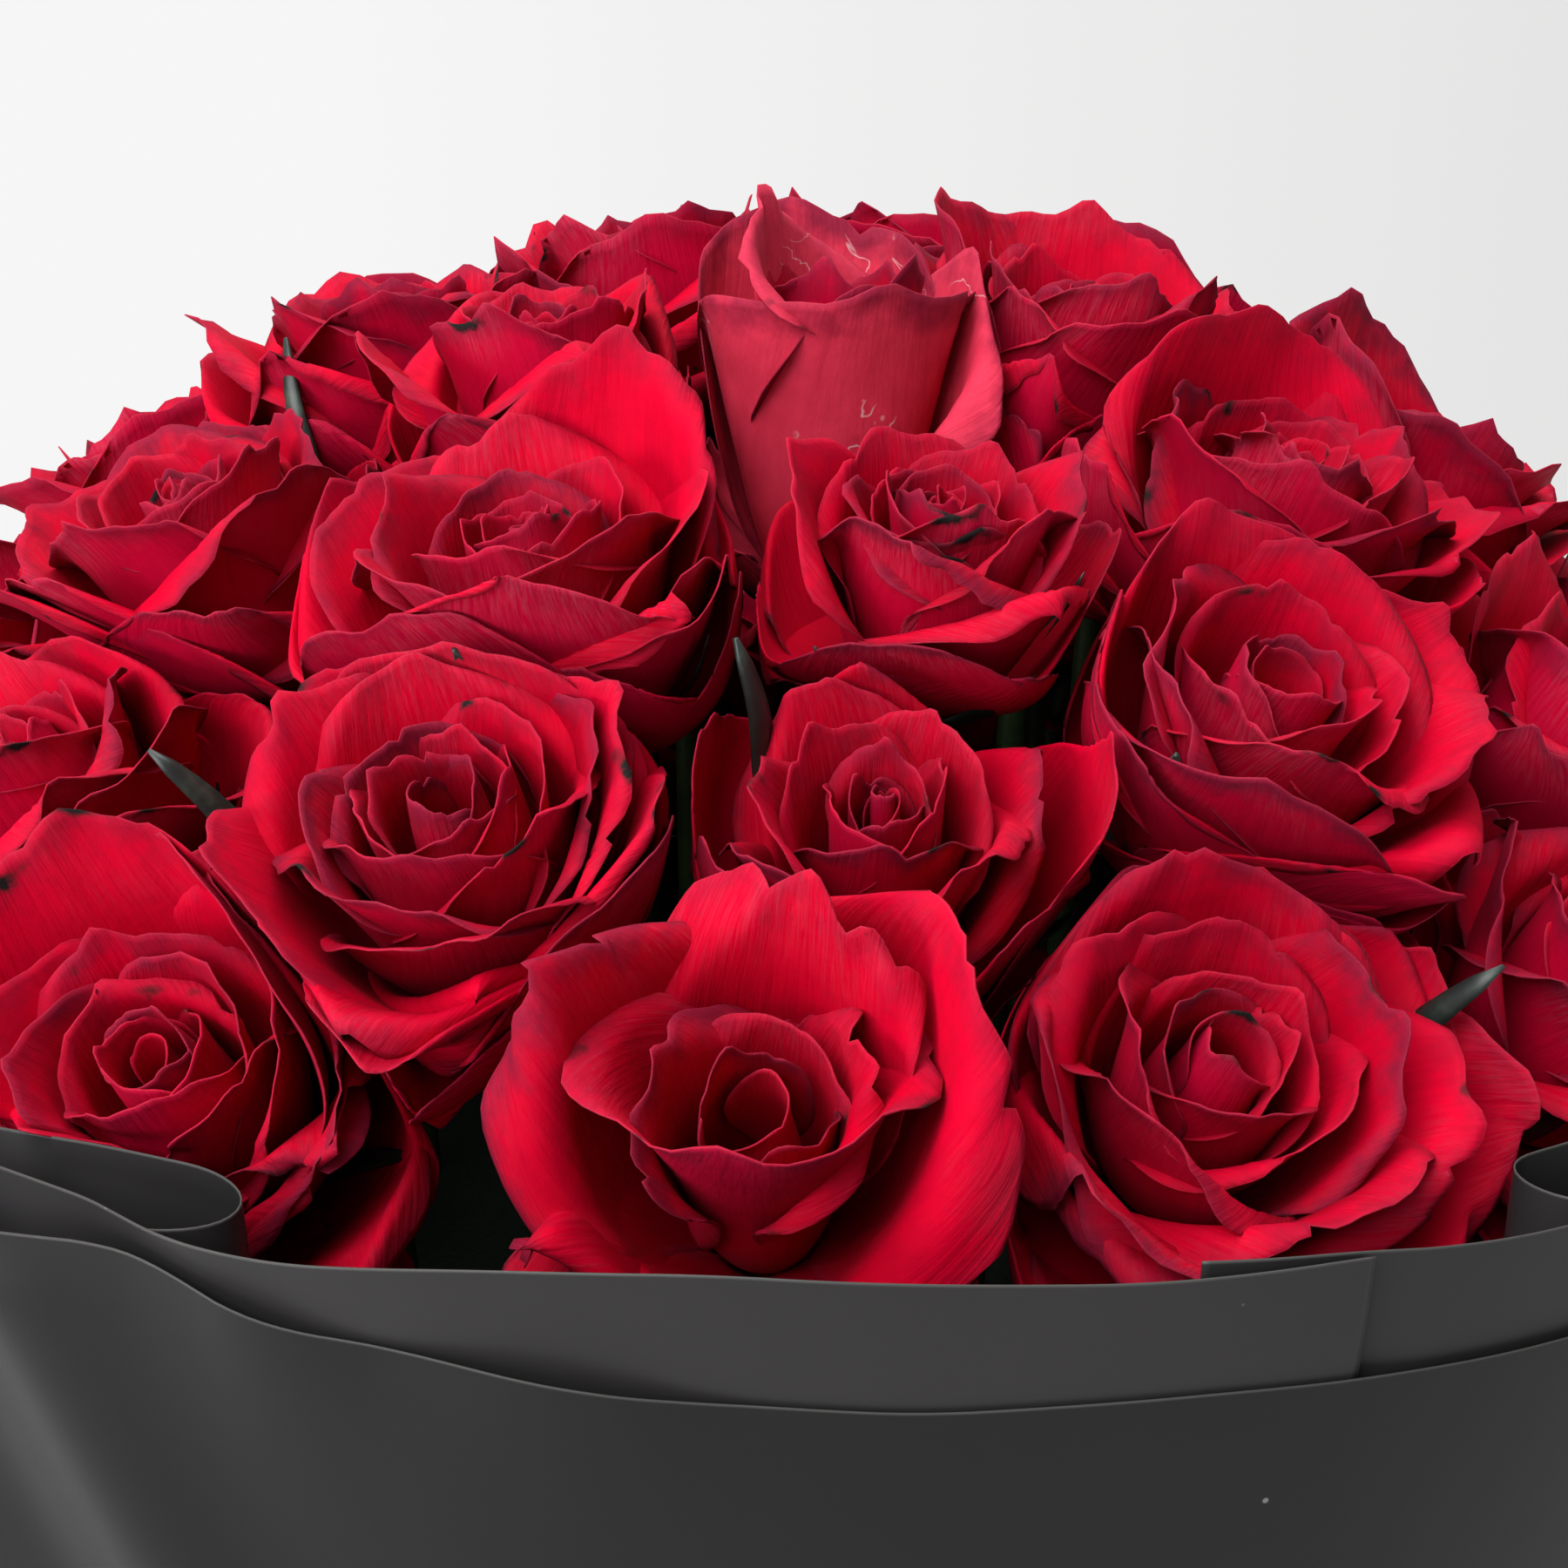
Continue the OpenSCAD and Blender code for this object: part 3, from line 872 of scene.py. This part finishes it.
def wraps(material):
    """Two inner sheets, the left one lapped over the right one at the front, and one outer sheet."""
    left_stops = [(17.2, 0), (-17.5, 0), (-19, 1.2), (-22, 6), (-27, 10)]
    left_stops += u_turn(-29, 10, 12, -1, 0.4, (0, -2.6)) + [(-27, 12.2, -2.6), (-22, 8.4, -2.6)]
    left_stops += u_turn(-20.5, 4.8, 22, 1, 2.8, (-2.6, 0))
    left_stops += [(-25, 22), (-34, 20), (-46, 8), (-60, 0), (-166, 0)]
    right_stops = [(11.6, 1.6, 1.6), (17, 1.1, 0.2), (19, 0.3), (30, 0.3)] + u_turn(33, 0.3, 2.0, 1, 0.4)
    right_stops += [(31, 2.2)] + u_turn(27.5, 2.4, 22, -1, 2.0)
    right_stops += [(31, 22), (40, 18), (52, 7), (64, 0), (188, 0), (194, 1.2), (201, 1.2)]
    outer_stops = [(-184, 1.0), (-172, 1.0), (-160, 0), (184, 0)]
    none = ((0, 0), (1, 0))
    wrap_sheet("film_left", "wrap_sheet_left", left_stops, INNER_EDGE, none, 0.3, 0.9, 1.8, material)
    wrap_sheet("film_right", "wrap_sheet_right", right_stops, INNER_EDGE, none, 0.0, 0.8, 1.8, material)
    wrap_sheet("film_outer", "wrap_sheet_outer", outer_stops, OUTER_EDGE, STAND_OFF, 0.8, 0.0, 2.3, material)


# ---------------------------------------------------------------- stage, camera, light
FLOOR_R = 1.7
FLOOR_Z = -0.5 * MM      # just below the foot, so that the two faces stay apart


def stage():
    """A round pale floor that fades into the pale room at its edge."""
    material, tree, shader = new_material("studio_white", 0.8)
    shader.inputs["Base Color"].default_value = (0.86, 0.86, 0.86, 1)
    noise = node_of(tree, "ShaderNodeTexNoise", Scale=3.0)
    bump = node_of(tree, "ShaderNodeBump", Strength=0.02)
    tree.links.new(noise.outputs["Fac"], bump.inputs["Height"])
    tree.links.new(bump.outputs["Normal"], shader.inputs["Normal"])
    place = node_of(tree, "ShaderNodeTexCoord").outputs["Object"]
    length = node_of(tree, "ShaderNodeVectorMath", operation="LENGTH")
    tree.links.new(place, length.inputs[0])
    fade = stretch(tree, FLOOR_R * 0.95, FLOOR_R * 0.35, length.outputs["Value"])
    tree.links.new(fade, shader.inputs["Alpha"])
    bpy.ops.mesh.primitive_circle_add(vertices=96, radius=FLOOR_R, fill_type="NGON", location=(0, 0, FLOOR_Z))
    floor = bpy.context.object
    floor.name = "studio_floor"
    floor.data.materials.append(material)


EYE_BACK = 506 * MM      # the camera stands this far in front of the axis
EYE_UP = 112 * MM        # and this far above the rim
EYE_DOWN = 11.1          # and looks down by this many degrees


def camera():
    """The camera in front of the box, above its rim but lower than the top of the dome."""
    data = bpy.data.cameras.new("camera")
    data.sensor_width = 36
    data.lens = 48
    data.clip_start = 0.02
    eye = bpy.data.objects.new("camera", data)
    bpy.context.scene.collection.objects.link(eye)
    eye.location = (0, -EYE_BACK, RIM_Z + EYE_UP)
    eye.rotation_euler = (math.radians(90 - EYE_DOWN), 0, 0)
    bpy.context.scene.camera = eye


def area_light(name, place, target, size, watts):
    """A rectangular lamp that shines from its place towards a target."""
    data = bpy.data.lights.new(name, "AREA")
    data.shape = "RECTANGLE"
    data.size, data.size_y = size
    data.energy = watts
    lamp = bpy.data.objects.new(name, data)
    bpy.context.scene.collection.objects.link(lamp)
    lamp.location = place
    direction = np.array(target, float) - np.array(place, float)
    lamp.rotation_euler = (math.acos(-direction[2] / np.linalg.norm(direction)), 0,
                           math.atan2(direction[1], direction[0]) - math.pi / 2)


def lights():
    target = (0, -0.05, RIM_Z)
    area_light("key", (-0.55, -1.05, 1.20), target, (1.1, 1.1), 31)
    area_light("front", (-0.35, -1.30, 0.50), target, (0.9, 0.5), 2.8)
    area_light("fill", (1.3, -0.9, 0.7), target, (0.9, 0.9), 2)
    area_light("low_left", (-1.15, -0.85, 0.28), (-0.1, -0.2, 0.2), (0.7, 0.5), 13)
    area_light("top", (-0.1, 0.15, 1.5), target, (1.0, 0.8), 16)


def world():
    """A pale room; what it sheds on the object is dimmer at the front, as in a studio."""
    room = bpy.data.worlds.new("studio")
    bpy.context.scene.world = room
    room.use_nodes = True
    tree = room.node_tree
    seen = tree.nodes["Background"]
    place = node_of(tree, "ShaderNodeTexCoord").outputs["Generated"]
    split = node_of(tree, "ShaderNodeSeparateXYZ")
    tree.links.new(place, split.inputs[0])
    side = stretch(tree, -0.2, 0.4, split.outputs["X"])
    tree.links.new(mixed(tree, side, (0.92, 0.92, 0.92), (0.77, 0.765, 0.765)), seen.inputs["Color"])
    shed = tree.nodes.new("ShaderNodeBackground")
    back = stretch(tree, -0.6, 1.0, split.outputs["Y"])
    tree.links.new(mixed(tree, back, (0.10, 0.10, 0.10), (0.55, 0.55, 0.55)), shed.inputs["Color"])
    choice = tree.nodes.new("ShaderNodeMixShader")
    tree.links.new(tree.nodes.new("ShaderNodeLightPath").outputs["Is Camera Ray"], choice.inputs[0])
    tree.links.new(shed.outputs[0], choice.inputs[1])
    tree.links.new(seen.outputs[0], choice.inputs[2])
    tree.links.new(choice.outputs[0], tree.nodes["World Output"].inputs["Surface"])
    bpy.context.scene.view_settings.view_transform = "Standard"


# ---------------------------------------------------------------- build
def dress(node, material):
    """Give a CAD piece that is shown as it is a material."""
    piece = frame["nodes"][node]
    piece.data.materials.clear()
    piece.data.materials.append(material)


camera()
lights()
world()
stage()

everything = flowers()
petals = petal_material()
for flower in everything:
    rose(flower, petals)
calyxes(everything, sepal_material())
wraps(film_material())

# the stems are darker than their own mid green: painted shade, as they sit in shadow between the heads
stem = plain_material("stem_green_painted_shade", (0.014, 0.034, 0.009), (0.035, 0.065, 0.016), 90.0, 0.5, 0.0004)
# the foam has wet foam's dark green, darkened further as painted shade for the gaps between the heads
foam = plain_material("wet_foam_painted_shade", (0.003, 0.010, 0.005), (0.009, 0.026, 0.012), 700.0, 0.9, 0.0008)
liner = plain_material("liner_film", (0.02, 0.024, 0.022), (0.035, 0.04, 0.037), 12.0, 0.25, 0.0006)
card = plain_material("black_card", (0.016, 0.016, 0.018), (0.028, 0.028, 0.031), 350.0, 0.75, 0.0002)
dress("stems", stem)
dress("foam_block", foam)
dress("liner", liner)
dress("box_wall", card)
dress("box_base", card)
